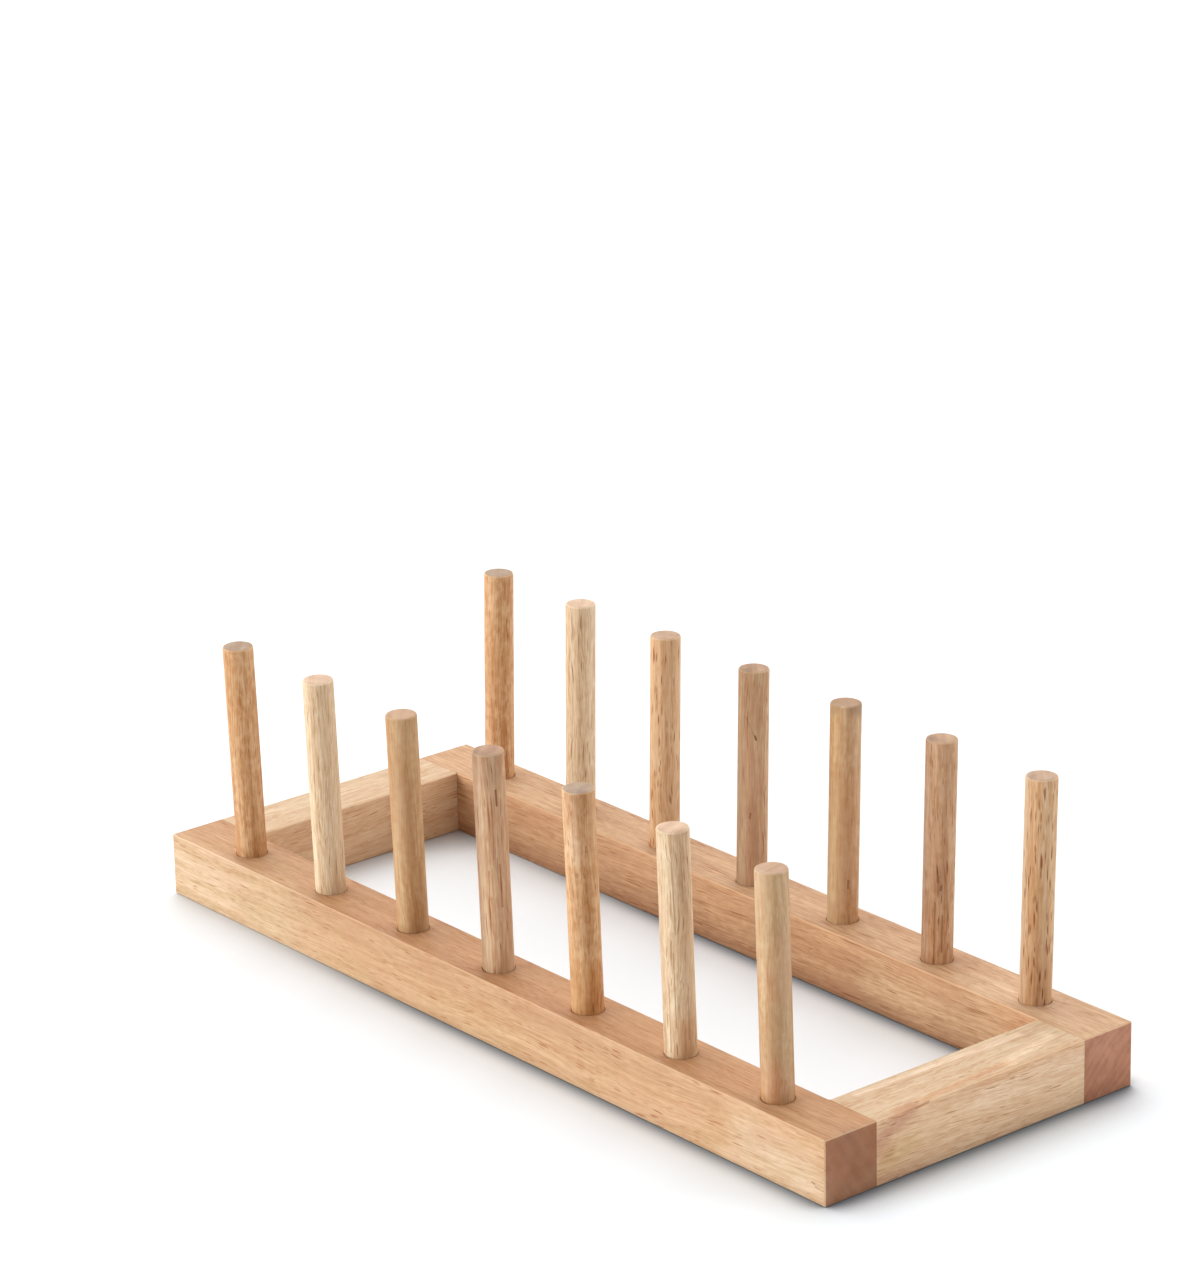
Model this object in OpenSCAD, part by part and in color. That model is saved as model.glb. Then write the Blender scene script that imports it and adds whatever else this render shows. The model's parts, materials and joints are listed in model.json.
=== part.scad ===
// Wooden plate rack: two rails joined by a crossbar at each end, with a row of upright dowels in each rail.
// Millimetres. The origin is on the surface that the rack stands on, in the middle of the rack.
// +X runs along the rails to the right end, +Y to the rear rail and +Z up.

/* [Frame] */
// Distance between the outer faces of the two rails
rack_width = 124; // [100:2:200]
// Width of a rail, seen from above
rail_width = 20; // [16:1:32]
// Height of the rails and the crossbars
frame_height = 21; // [18:0.5:32]
// Thickness of a crossbar, along the rack
crossbar_thickness = 20; // [14:1:32]
// Flat that sanding leaves on each exposed edge
edge_ease = 0.4; // [0.2:0.1:1]

/* [Dowels] */
// Number of dowels in each row
dowels_per_row = 7; // [2:1:10]
// Distance from one dowel to the next in a row
slot_pitch = 43; // [20:1:60]
// Diameter of a dowel
dowel_diameter = 10; // [8:0.5:12]
// Height of a dowel above its rail, along its own axis
dowel_height = 72; // [40:1:120]
// Angle that each row leans outwards, in degrees
dowel_splay = 1.5; // [0:0.1:3]
// Clear distance along the rail between a crossbar and the first dowel
end_gap = 6; // [3:0.5:30]
// Width of the eased rim at both ends of a dowel
dowel_rim = 0.6; // [0.2:0.1:1.2]

/* [Sockets] */
// Depth of a dowel's blind socket in its rail
socket_depth = 13; // [8:0.5:15]
// Gap all round a dowel in its socket
socket_clearance = 0.1; // [0.05:0.05:0.2]
// Width of the broken edge round a socket's mouth
mouth_ease = 0.3; // [0.1:0.1:0.6]

/* [Joint pins] */
// Diameter of a joint pin
pin_diameter = 6; // [4:0.5:7]
// Length of a joint pin
pin_length = 30; // [24:1:36]
// Part of a joint pin that is in the rail
pin_in_rail = 12; // [8:0.5:14]
// Distance between the two pins of a joint, one above the other
pin_spacing = 9; // [8:0.5:10]
// Gap all round a pin in its bore
pin_clearance = 0.05; // [0.02:0.01:0.1]
// Spare depth for glue behind a pin, in the crossbar
glue_room = 1; // [0.5:0.5:3]
// Width of the eased rim at both ends of a pin
pin_rim = 0.8; // [0.4:0.1:1.2]
// Number of glue flutes along a pin
pin_flutes = 8; // [4:1:12]
// Depth of a glue flute
flute_depth = 0.3; // [0.1:0.1:0.5]

/* [Hidden] */
$fn = 48;
// Side of the rack that a rail, a dowel or a joint is on, along Y
FRONT = -1;
REAR = 1;
// End of the rack that a crossbar or a joint is on, along X
LEFT = -1;
RIGHT = 1;
// Cutters run this far past the surface that they open
overrun = 1;

rail_length = (dowels_per_row - 1) * slot_pitch + dowel_diameter + 2 * (end_gap + crossbar_thickness);
crossbar_length = rack_width - 2 * rail_width;
rail_y = (rack_width - rail_width) / 2;
rail_inner_y = rack_width / 2 - rail_width;
crossbar_x = (rail_length - crossbar_thickness) / 2;
crossbar_inner_x = rail_length / 2 - crossbar_thickness;
socket_radius = dowel_diameter / 2 + socket_clearance;
pin_bore_radius = pin_diameter / 2 + pin_clearance;
pin_in_crossbar = pin_length - pin_in_rail;

frame_nodes = ["front_rail", "rear_rail", "left_crossbar", "right_crossbar"];
joint_nodes = [
    "left_front_joint_pins", "left_rear_joint_pins",
    "right_front_joint_pins", "right_rear_joint_pins"
];
front_dowel_nodes = [for (i = [1 : dowels_per_row]) str("front_dowel_", i)];
rear_dowel_nodes = [for (i = [1 : dowels_per_row]) str("rear_dowel_", i)];

rail_colour = "#D9A06F";
crossbar_colour = "#E3BE8B";
pin_colour = "#D8B48A";
// One tone for each dowel of a row, which starts again when the row is longer
front_dowel_colours = ["#DDB07E", "#EACFA4", "#C99655", "#C9906A", "#D9AE80", "#CFA070", "#DDB68A"];
rear_dowel_colours = ["#CFA274", "#A9764F", "#D7A473", "#C08A63", "#D9AE80", "#CFA070", "#DDB68A"];

// Place of dowel i along the rails, counted from the right end
function dowel_x(i) = slot_pitch * ((dowels_per_row + 1) / 2 - i);
function tone(colours, i) = colours[(i - 1) % len(colours)];

// Places its children at the middle of an edge that runs along the named axis
// and cuts the edge back to a flat of edge_ease on each of its two faces
module eased_edge(length, direction) {
    side = edge_ease * sqrt(2);
    turned = direction == "x" ? [45, 0, 0] : direction == "y" ? [0, 45, 0] : [0, 0, 45];
    size = [
        direction == "x" ? length : side,
        direction == "y" ? length : side,
        direction == "z" ? length : side
    ];
    rotate(turned) cube(size, center = true);
}

// The two edges that run along the named axis at x and y, one at the bottom of the frame and one at its top
module eased_pair(x, y, length, direction) {
    for (z = [0, frame_height]) {
        translate([x, y, z]) eased_edge(length, direction);
    }
}

// Moves its children from the rear side of the rack to the given side
module on_side(side) {
    mirror([0, side == FRONT ? 1 : 0, 0]) children();
}

// Moves its children from the right end of the rack to the given end
module on_end(end) {
    mirror([end == LEFT ? 1 : 0, 0, 0]) children();
}

// Moves its children onto the axis of dowel i, with z = 0 at the rail's top
module on_dowel_axis(side, i) {
    on_side(side)
        translate([dowel_x(i), rail_y, frame_height])
            rotate([-dowel_splay, 0, 0])
                children();
}

// Moves its children onto the axes of a joint's two pins, with z = 0 at the rail's inner face and +Z into the rail
module on_pin_axes(end, side) {
    on_end(end)
        on_side(side)
            for (step = [-1, 1]) {
                translate([crossbar_x, rail_inner_y, frame_height / 2 + step * pin_spacing / 2])
                    rotate([-90, 0, 0])
                        children();
            }
}

// A round bar with both rims eased
module eased_rod(radius, length, rim) {
    rotate_extrude()
        polygon([
            [0, 0], [radius - rim, 0], [radius, rim],
            [radius, length - rim], [radius - rim, length], [0, length]
        ]);
}

// Blind hole for a dowel, with its mouth broken
module socket() {
    translate([0, 0, -socket_depth])
        cylinder(h = socket_depth + overrun, r = socket_radius);
    translate([0, 0, -mouth_ease])
        cylinder(h = mouth_ease + overrun, r1 = socket_radius, r2 = socket_radius + mouth_ease + overrun);
}

module pin_bore_in_rail() {
    translate([0, 0, -overrun])
        cylinder(h = pin_in_rail + overrun, r = pin_bore_radius);
}

module pin_bore_in_crossbar() {
    depth = pin_in_crossbar + glue_room;
    translate([0, 0, -depth])
        cylinder(h = depth + overrun, r = pin_bore_radius);
}

// The exposed edges of a rail: both long outer edges, its two ends, and the inner edges between the crossbars
module rail_edges() {
    eased_pair(0, rack_width / 2, rail_length + 2 * overrun, "x");
    eased_pair(0, rail_inner_y, 2 * crossbar_inner_x, "x");
    for (end = [LEFT, RIGHT]) {
        eased_pair(end * rail_length / 2, rail_y, rail_width + 2 * overrun, "y");
        translate([end * rail_length / 2, rack_width / 2, frame_height / 2])
            eased_edge(frame_height + 2 * overrun, "z");
    }
}

module rail(side) {
    difference() {
        on_side(side)
            difference() {
                translate([0, rail_y, frame_height / 2])
                    cube([rail_length, rail_width, frame_height], center = true);
                rail_edges();
            }
        for (i = [1 : dowels_per_row]) {
            on_dowel_axis(side, i) socket();
        }
        for (end = [LEFT, RIGHT]) {
            on_pin_axes(end, side) pin_bore_in_rail();
        }
    }
}

module crossbar(end) {
    difference() {
        on_end(end)
            difference() {
                translate([crossbar_x, 0, frame_height / 2])
                    cube([crossbar_thickness, crossbar_length, frame_height], center = true);
                eased_pair(rail_length / 2, 0, crossbar_length + 2 * overrun, "y");
                eased_pair(crossbar_inner_x, 0, crossbar_length + 2 * overrun, "y");
            }
        for (side = [FRONT, REAR]) {
            on_pin_axes(end, side) pin_bore_in_crossbar();
        }
    }
}

// A dowel stands on the bottom of its socket
module dowel(side, i) {
    on_dowel_axis(side, i)
        translate([0, 0, -socket_depth])
            eased_rod(dowel_diameter / 2, socket_depth + dowel_height, dowel_rim);
}

module fluted_pin() {
    difference() {
        eased_rod(pin_diameter / 2, pin_length, pin_rim);
        for (flute = [0 : pin_flutes - 1]) {
            rotate([0, 0, flute * 360 / pin_flutes])
                translate([pin_diameter / 2, 0, -overrun])
                    cylinder(h = pin_length + 2 * overrun, r = flute_depth);
        }
    }
}

// The two pins of a joint end on the bottom of their bores in the rail
module joint_pins(end, side) {
    color(pin_colour)
        on_pin_axes(end, side)
            translate([0, 0, -pin_in_crossbar])
                fluted_pin();
}

module front_rail() {
    color(rail_colour) rail(FRONT);
}

module rear_rail() {
    color(rail_colour) rail(REAR);
}

module left_crossbar() {
    color(crossbar_colour) crossbar(LEFT);
}

module right_crossbar() {
    color(crossbar_colour) crossbar(RIGHT);
}

module front_dowel(i) {
    color(tone(front_dowel_colours, i)) dowel(FRONT, i);
}

module rear_dowel(i) {
    color(tone(rear_dowel_colours, i)) dowel(REAR, i);
}

front_rail();
rear_rail();
left_crossbar();
right_crossbar();
joint_pins(LEFT, FRONT);  // left_front_joint_pins
joint_pins(LEFT, REAR);  // left_rear_joint_pins
joint_pins(RIGHT, FRONT);  // right_front_joint_pins
joint_pins(RIGHT, REAR);  // right_rear_joint_pins
for (i = [1 : dowels_per_row]) {
    front_dowel(i);
    rear_dowel(i);
}
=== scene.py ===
"""Plate rack in sanded rubberwood, on a white studio floor.

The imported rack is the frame. Its rails and crossbars get fine arrises, its dowels and joint pins are turned
anew from a few sizes, and every piece gets a solid wood grain that runs through it.
Lengths are in metres and angles in radians, unless a name ends in _mm or _deg or the words beside it say
millimetres or degrees.
"""

import json
import logging
import math
from dataclasses import dataclass, field, fields
from enum import Enum
from typing import Any, Optional, Sequence, Union

import bmesh
import bpy
import numpy as np
from mathutils import Matrix, Vector

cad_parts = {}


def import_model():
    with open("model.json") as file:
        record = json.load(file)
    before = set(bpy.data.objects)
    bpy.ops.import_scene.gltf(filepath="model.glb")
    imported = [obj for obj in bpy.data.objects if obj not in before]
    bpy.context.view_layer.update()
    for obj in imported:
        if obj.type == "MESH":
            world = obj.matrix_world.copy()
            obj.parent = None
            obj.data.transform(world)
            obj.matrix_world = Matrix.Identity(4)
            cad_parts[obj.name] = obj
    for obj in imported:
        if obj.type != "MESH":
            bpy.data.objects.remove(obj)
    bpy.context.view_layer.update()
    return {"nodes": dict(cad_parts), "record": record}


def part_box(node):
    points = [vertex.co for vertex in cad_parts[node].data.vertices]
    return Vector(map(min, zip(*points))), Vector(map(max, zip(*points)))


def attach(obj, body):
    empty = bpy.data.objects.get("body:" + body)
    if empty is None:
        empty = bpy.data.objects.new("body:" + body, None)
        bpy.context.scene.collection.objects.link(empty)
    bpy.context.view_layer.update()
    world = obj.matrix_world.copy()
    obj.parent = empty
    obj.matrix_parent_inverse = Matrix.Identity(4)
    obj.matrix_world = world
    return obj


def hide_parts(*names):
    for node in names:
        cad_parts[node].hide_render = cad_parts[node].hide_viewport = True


log = logging.getLogger("plate_rack")

BODY = "root"
MM = 0.001
GRAIN_ATTRIBUTE = "grain_place"
# Points that agree to this many decimals of a metre count as one
POINT_DECIMALS = 7
# Where the middle of the growth rings lies beside a piece, across its fibres
PITH_MM = (-58.0, 34.0)

Colour = tuple[float, float, float]
Place = tuple[float, float, float]
Feed = Union[bpy.types.NodeSocket, float, Sequence[float]]


class Grain(Enum):
    """Direction that the fibres of a piece run in."""

    ALONG_X = (1.0, 0.0, 0.0)
    ALONG_Y = (0.0, 1.0, 0.0)
    ALONG_Z = (0.0, 0.0, 1.0)


class Side(Enum):
    """Side of the rack, along Y."""

    FRONT = "front"
    REAR = "rear"


class End(Enum):
    """End of the rack, along X."""

    LEFT = "left"
    RIGHT = "right"


@dataclass(frozen=True)
class WoodFinish:
    """Tones and figure of one run of sanded rubberwood. Each field is an input of the grain pattern.

    The tones are linear RGB. Shares and depths run from 0, none, to 1, all. Pore sizes are in millimetres.
    """

    light: Colour
    dark: Colour
    blush: Colour
    pore: Colour
    end_light: Colour
    end_dark: Colour
    # Multiplies the tones of upward faces: painted shade on the tops
    top_shade: Colour = (1.0, 1.0, 1.0)
    bands: float = 0.4
    streaks: float = 0.4
    fibres: float = 0.5
    rings: float = 0.25
    shimmer: float = 0.15
    fineness: float = 1.0
    stains: float = 0.5
    mottle: float = 0.3
    pores: float = 0.6
    pore_share: float = 0.3
    pore_length: float = 8.0
    pore_width: float = 0.55
    bold_pores: float = 0.35
    end_rings: float = 0.5
    roughness: float = 0.6


@dataclass(frozen=True)
class Layer:
    """One layer of soft noise in the grain, whose span from low to high is carried to 0 and 1."""

    cells_per_mm: Place
    detail: float
    low: float
    high: float


@dataclass(frozen=True)
class PoreRun:
    """One run of pores: their size against the finish's, and how dark the smallest and largest are."""

    size: float
    faintest: float
    darkest: float


@dataclass(frozen=True)
class GrainLay:
    """How a board was cut from its log.

    The tilt and the roll turn the grain in the board, the shift picks another part of the log, and the pith
    is where the middle of the growth rings lies beside the board, across the fibres.
    """

    run: Grain
    tilt_deg: float = 0.0
    roll_deg: float = 0.0
    shift_mm: Place = (0.0, 0.0, 0.0)
    pith_mm: tuple[float, float] = PITH_MM

    def turn(self) -> Sequence[float]:
        """Adds up how the grain is turned in the board.

        Returns:
            The Euler angles that bring the fibres onto X.
        """
        quarter = Matrix.Rotation(-math.pi / 2.0 if self.run is Grain.ALONG_Y else 0.0, 3, "Z")
        tilt = Matrix.Rotation(math.radians(self.tilt_deg), 3, "Y")
        roll = Matrix.Rotation(math.radians(self.roll_deg), 3, "X")
        return (roll @ tilt @ quarter).to_euler("XYZ")[:]


@dataclass(frozen=True)
class Mark:
    """A local change of tone, such as a knot, a fleck, a blush or a patch of painted shade: all that lies
    near a short line.

    Places and reach are in millimetres. A mark with an edge of 1 fades from the line itself, and its tint
    multiplies the wood's own tones. With a lower edge it is crisp, and its tint covers them.
    """

    start: Place
    end: Place
    reach: float
    tint: Colour
    share: float
    edge: float = 1.0

    @property
    def blend(self) -> str:
        """How the tint goes over the wood."""
        return "MULTIPLY" if self.edge >= 1.0 else "MIX"


@dataclass(frozen=True)
class Fleck:
    """A mark on a dowel, given by its heights above the rail in millimetres and its headings in degrees.

    A heading runs from +X towards +Y. One of -40 faces the camera.
    """

    heights: tuple[float, float]
    headings: tuple[float, float]
    reach: float
    tint: Colour
    share: float
    edge: float = 0.7

    @classmethod
    def streak(
        cls, heights: tuple[float, float], heading: float, reach: float, tint: Colour, share: float
    ) -> "Fleck":
        """Returns a soft fleck that runs straight up the dowel."""
        return cls(heights, (heading, heading), reach, tint, share, 1.0)

    def on_rod(self, radius_mm: float, socket_mm: float, shift: Vector) -> Mark:
        """Places the fleck in the grain of a rod.

        Args:
            radius_mm: the rod's radius.
            socket_mm: the length of rod below the rail's top.
            shift: where the rod's own grain starts, in millimetres.

        Returns:
            The fleck as a mark.
        """
        ends = [
            shift + Vector((
                height + socket_mm,
                radius_mm * math.cos(math.radians(heading)),
                radius_mm * math.sin(math.radians(heading)),
            ))
            for height, heading in zip(self.heights, self.headings)
        ]
        return Mark(ends[0][:], ends[1][:], self.reach, self.tint, self.share, self.edge)


class Wiring:
    """Adds nodes to one node tree and joins them, so that a pattern reads as a sum of its parts."""

    def __init__(self, tree: bpy.types.NodeTree) -> None:
        """Starts on an empty tree.

        Args:
            tree: the shader, group or geometry tree that gets the nodes.
        """
        self.tree = tree

    def node(self, kind: str, **settings: Any) -> bpy.types.Node:
        """Adds one node.

        Args:
            kind: Blender's name for the type of node.
            settings: properties to set on the node.

        Returns:
            The new node.
        """
        made = self.tree.nodes.new(kind)
        for name, value in settings.items():
            setattr(made, name, value)
        return made

    def feed(self, socket: bpy.types.NodeSocket, value: Optional[Feed]) -> None:
        """Joins a socket to another one, or sets its value.

        Args:
            socket: the input to fill.
            value: an output to join it to, a value, or None to leave it.
        """
        if value is None:
            return
        if isinstance(value, bpy.types.NodeSocket):
            self.tree.links.new(value, socket)
            return
        if socket.type == "RGBA" and len(value) == 3:
            value = (*value, 1.0)
        socket.default_value = value

    def math(self, operation: str, *values: Feed, clamp: bool = False) -> bpy.types.NodeSocket:
        """Works out a sum on up to three numbers.

        Args:
            operation: Blender's name for the sum.
            values: the numbers.
            clamp: whether the result is held between 0 and 1.

        Returns:
            The result.
        """
        made = self.node("ShaderNodeMath", operation=operation, use_clamp=clamp)
        for socket, value in zip(made.inputs, values):
            self.feed(socket, value)
        return made.outputs[0]

    def vector(self, operation: str, a: Feed, b: Optional[Feed] = None) -> bpy.types.NodeSocket:
        """Works out a sum on one or two vectors.

        Args:
            operation: Blender's name for the sum.
            a: the first vector.
            b: the second vector, where the sum takes one.

        Returns:
            The result, which is a number for a dot product or a length.
        """
        made = self.node("ShaderNodeVectorMath", operation=operation)
        self.feed(made.inputs[0], a)
        self.feed(made.inputs[1], b)
        return made.outputs["Value" if operation in ("DOT_PRODUCT", "LENGTH") else "Vector"]

    def scaled(self, vector: Feed, factor: Feed) -> bpy.types.NodeSocket:
        """Makes a vector longer or shorter.

        Args:
            vector: the vector.
            factor: the number that it is multiplied by.

        Returns:
            The new vector.
        """
        made = self.node("ShaderNodeVectorMath", operation="SCALE")
        self.feed(made.inputs[0], vector)
        self.feed(made.inputs["Scale"], factor)
        return made.outputs["Vector"]

    def parts(self, vector: Feed) -> tuple[bpy.types.NodeSocket, ...]:
        """Takes a vector apart.

        Args:
            vector: the vector.

        Returns:
            Its X, Y and Z.
        """
        made = self.node("ShaderNodeSeparateXYZ")
        self.feed(made.inputs[0], vector)
        return tuple(made.outputs)

    def joined(self, x: Feed, y: Feed, z: Feed) -> bpy.types.NodeSocket:
        """Makes a vector of three numbers.

        Args:
            x: its X.
            y: its Y.
            z: its Z.

        Returns:
            The vector.
        """
        made = self.node("ShaderNodeCombineXYZ")
        for socket, value in zip(made.inputs, (x, y, z)):
            self.feed(socket, value)
        return made.outputs[0]

    def ramp(
        self, value: Feed, low: Feed, high: Feed, to_low: Feed = 0.0, to_high: Feed = 1.0
    ) -> bpy.types.NodeSocket:
        """Carries a value smoothly from one range to another, and holds it at the ends.

        Args:
            value: the number to carry over.
            low: the start of its range.
            high: the end of its range.
            to_low: the result at the start.
            to_high: the result at the end.

        Returns:
            The value in its new range.
        """
        made = self.node("ShaderNodeMapRange", interpolation_type="SMOOTHSTEP")
        for socket, fed in zip(made.inputs, (value, low, high, to_low, to_high)):
            self.feed(socket, fed)
        return made.outputs[0]

    def noise(self, place: Feed, detail: float = 2.0, roughness: float = 0.5) -> bpy.types.NodeSocket:
        """Reads soft noise.

        Args:
            place: where it is read, in cells of the noise.
            detail: number of finer layers.
            roughness: strength of the finer layers.

        Returns:
            A number around a half.
        """
        made = self.node("ShaderNodeTexNoise", noise_dimensions="3D")
        self.feed(made.inputs["Vector"], place)
        self.feed(made.inputs["Scale"], 1.0)
        self.feed(made.inputs["Detail"], detail)
        self.feed(made.inputs["Roughness"], roughness)
        return made.outputs[0]

    def mixed(self, share: Feed, a: Feed, b: Feed, blend: str = "MIX") -> bpy.types.NodeSocket:
        """Mixes a second colour into a first.

        Args:
            share: how much of the second is mixed in.
            a: the first colour.
            b: the second colour.
            blend: how the second goes over the first, as the mix node names it.

        Returns:
            The mixed colour.
        """
        made = self.node("ShaderNodeMix", data_type="RGBA", blend_type=blend)
        colours = [socket for socket in made.inputs if socket.type == "RGBA"]
        self.feed(made.inputs[0], share)
        self.feed(colours[0], a)
        self.feed(colours[1], b)
        return next(socket for socket in made.outputs if socket.type == "RGBA")


class Pattern:
    """A shader node group with named inputs and outputs, which materials share."""

    def __init__(self, name: str, inputs: dict[str, str], outputs: dict[str, str]) -> None:
        """Starts the group.

        Args:
            name: the group's name.
            inputs: the type of each input.
            outputs: the type of each output.
        """
        self.group = bpy.data.node_groups.new(name, "ShaderNodeTree")
        for way, sockets in (("INPUT", inputs), ("OUTPUT", outputs)):
            for label, kind in sockets.items():
                self.group.interface.new_socket(label, in_out=way, socket_type=f"NodeSocket{kind}")
        self.wiring = Wiring(self.group)
        self.given = self.wiring.node("NodeGroupInput").outputs

    def end(self, **results: bpy.types.NodeSocket) -> None:
        """Joins the results to the group's outputs.

        Args:
            results: what goes out, under the name of each output.
        """
        done = self.wiring.node("NodeGroupOutput")
        for label, value in results.items():
            self.wiring.feed(done.inputs[label], value)

    def apply(self, wiring: Wiring, **values: Feed) -> bpy.types.NodeOutputs:
        """Adds the group to a material.

        Args:
            wiring: the wiring of the material.
            values: what goes into each input.

        Returns:
            The group's outputs there.
        """
        made = wiring.node("ShaderNodeGroup", node_tree=self.group)
        for label, value in values.items():
            wiring.feed(made.inputs[label], value)
        return made.outputs


class RubberwoodPattern(Pattern):
    """The grain of rubberwood, in millimetres, with its fibres along X.

    Soft bands, finer streaks and fibres run along it, with growth rings round a pith outside the piece, a
    shimmer, mottling, a few darker stains, and short dark pores in two sizes. Faces across the fibres show
    end grain.
    """

    # Noise from the broadest bands to the finest fibres, then the blushes and the darker stains
    BANDS = Layer((0.009, 0.21, 0.21), 3.0, 0.36, 0.64)
    STREAKS = Layer((0.035, 0.95, 0.95), 2.0, 0.34, 0.66)
    FIBRES = Layer((0.1, 2.3, 2.3), 2.0, 0.38, 0.62)
    SHIMMER = Layer((0.3, 0.5, 0.5), 2.0, 0.34, 0.66)
    MOTTLE = Layer((0.045, 0.13, 0.13), 2.0, 0.42, 0.68)
    STAINS = Layer((0.03, 0.9, 0.9), 3.0, 0.52, 0.7)
    LAYER_ROUGHNESS = 0.55
    STAIN_DEPTH = 0.35
    # Each drift of the fibres: its cells per millimetre and how far it carries them
    WANDERS = (((0.016, 0.05, 0.05), 3.0), ((0.11, 0.25, 0.25), 0.4))
    WANDER_DETAIL = 1.0
    UPWARD_SHIFT = (7.3, 3.1, 5.9)
    RINGS_PER_MM = 0.42
    RING_SPAN = (0.35, 0.65)
    RING_ROUGHNESS = 0.6
    # Pores are drawn one to a cell, and each takes this much of the cell
    PORE_REACH = (0.2, 0.42)
    PORE_CORE = 0.4
    FINE_PORES = PoreRun(1.0, 0.34, 0.85)
    BOLD_PORES = PoreRun(1.5, 0.4, 1.0)
    PORE_CROWDING = (0.4, 1.3)
    # Faces that cut the fibres this squarely show end grain, and those this level take the top shade, a
    # painted shade on upward faces
    END_SPAN = (0.72, 0.9)
    TOP_SHADE_SPAN = (0.75, 0.95)
    END_BANDS = 0.4
    END_PORES = 0.35
    # How far an arris is made pale, partly as wear and partly as a painted highlight, from the darkest
    # streaks to the palest
    WEAR_AND_HIGHLIGHT_SPAN = (0.0, 0.85)
    WEAR_AND_HIGHLIGHT_SHARES = (0.45, 0.85)
    FIBRE_ROUGHNESS = 0.12
    PORE_ROUGHNESS = 0.2
    END_ROUGHNESS = 0.12
    FIBRE_HEIGHT = 0.35

    def __init__(self) -> None:
        """Builds the group."""
        inputs = {"place": "Vector", "pith": "Vector", "across": "Float", "upward": "Float", "arris": "Float"}
        for spec in fields(WoodFinish):
            inputs[spec.name] = "Float" if spec.type is float else "Color"
        super().__init__("rubberwood_grain", inputs, {"colour": "Color", "rough": "Float", "height": "Float"})
        w, given = self.wiring, self.given
        place = self._wandering(given["place"])
        finer = w.vector("MULTIPLY", place, w.joined(1.0, given["fineness"], given["fineness"]))
        bands = self._layer(place, self.BANDS)
        streaks = self._layer(finer, self.STREAKS)
        fibres = self._layer(finer, self.FIBRES)
        shimmer = self._layer(place, self.SHIMMER)
        rings = self._rings(place)
        pores = self._pores(place, bands)
        is_end = w.ramp(w.math("ABSOLUTE", given["across"]), *self.END_SPAN)

        depth = self._summed(bands=bands, streaks=streaks, rings=rings, shimmer=shimmer, fibres=fibres)
        side = w.mixed(depth, given["light"], given["dark"])
        blushing = w.math("MULTIPLY", self._layer(place, self.MOTTLE), given["mottle"])
        side = w.mixed(blushing, side, given["blush"])
        stained = w.mixed(self.STAIN_DEPTH, given["dark"], given["pore"])
        staining = w.math("MULTIPLY", self._layer(place, self.STAINS), given["stains"])
        side = w.mixed(staining, side, stained)
        # Upward faces take the top shade: painted shade
        side = w.mixed(w.ramp(given["upward"], *self.TOP_SHADE_SPAN), side, given["top_shade"], "MULTIPLY")
        side = w.mixed(pores, side, given["pore"])

        ringed = w.math("MULTIPLY", rings, given["end_rings"])
        end_depth = w.math("MULTIPLY_ADD", bands, self.END_BANDS, ringed)
        end = w.mixed(end_depth, given["end_light"], given["end_dark"])
        end = w.mixed(w.math("MULTIPLY", pores, self.END_PORES), end, given["pore"])
        shown = w.mixed(is_end, side, end)
        # Eased edges are painted paler: partly wear, partly a painted highlight
        worn_and_highlit = w.math("MULTIPLY", given["arris"], w.ramp(streaks, *self.WEAR_AND_HIGHLIGHT_SPAN, *self.WEAR_AND_HIGHLIGHT_SHARES))
        shown = w.mixed(worn_and_highlit, shown, given["light"])

        off_mean = w.math("SUBTRACT", fibres, 0.5)
        rough = w.math("MULTIPLY_ADD", off_mean, self.FIBRE_ROUGHNESS, given["roughness"])
        rough = w.math("MULTIPLY_ADD", pores, self.PORE_ROUGHNESS, rough)
        rough = w.math("MULTIPLY_ADD", is_end, self.END_ROUGHNESS, rough, clamp=True)
        height = w.math("SUBTRACT", w.math("MULTIPLY", fibres, self.FIBRE_HEIGHT), pores)
        self.end(colour=shown, rough=rough, height=height)

    def _layer(self, place: Feed, layer: Layer) -> bpy.types.NodeSocket:
        """Reads one layer of noise.

        Args:
            place: the place in millimetres.
            layer: the layer.

        Returns:
            A number from 0 to 1.
        """
        w = self.wiring
        at = w.vector("MULTIPLY", place, layer.cells_per_mm)
        return w.ramp(w.noise(at, layer.detail, self.LAYER_ROUGHNESS), layer.low, layer.high)

    def _summed(self, **layers: bpy.types.NodeSocket) -> bpy.types.NodeSocket:
        """Adds layers up round a half.

        Args:
            layers: each layer, under the name of the finish's share of it.

        Returns:
            The depth of tone, from 0, light, to 1, dark.
        """
        w = self.wiring
        depth = 0.5
        for share, layer in layers.items():
            depth = w.math("MULTIPLY_ADD", w.math("SUBTRACT", layer, 0.5), self.given[share], depth)
        return depth

    def _wandering(self, metres: bpy.types.NodeSocket) -> bpy.types.NodeSocket:
        """Lets the fibres drift sideways, so that they aren't ruled lines.

        Args:
            metres: the place in metres.

        Returns:
            The drifting place in millimetres.
        """
        w = self.wiring
        place = w.scaled(metres, 1.0 / MM)
        for cells, reach_mm in self.WANDERS:
            at = w.vector("MULTIPLY", place, cells)
            sideways = w.math("SUBTRACT", w.noise(at, self.WANDER_DETAIL), 0.5)
            shifted = w.vector("ADD", at, self.UPWARD_SHIFT)
            upwards = w.math("SUBTRACT", w.noise(shifted, self.WANDER_DETAIL), 0.5)
            place = w.vector("ADD", place, w.scaled(w.joined(0.0, sideways, upwards), 2.0 * reach_mm))
        return place

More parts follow.
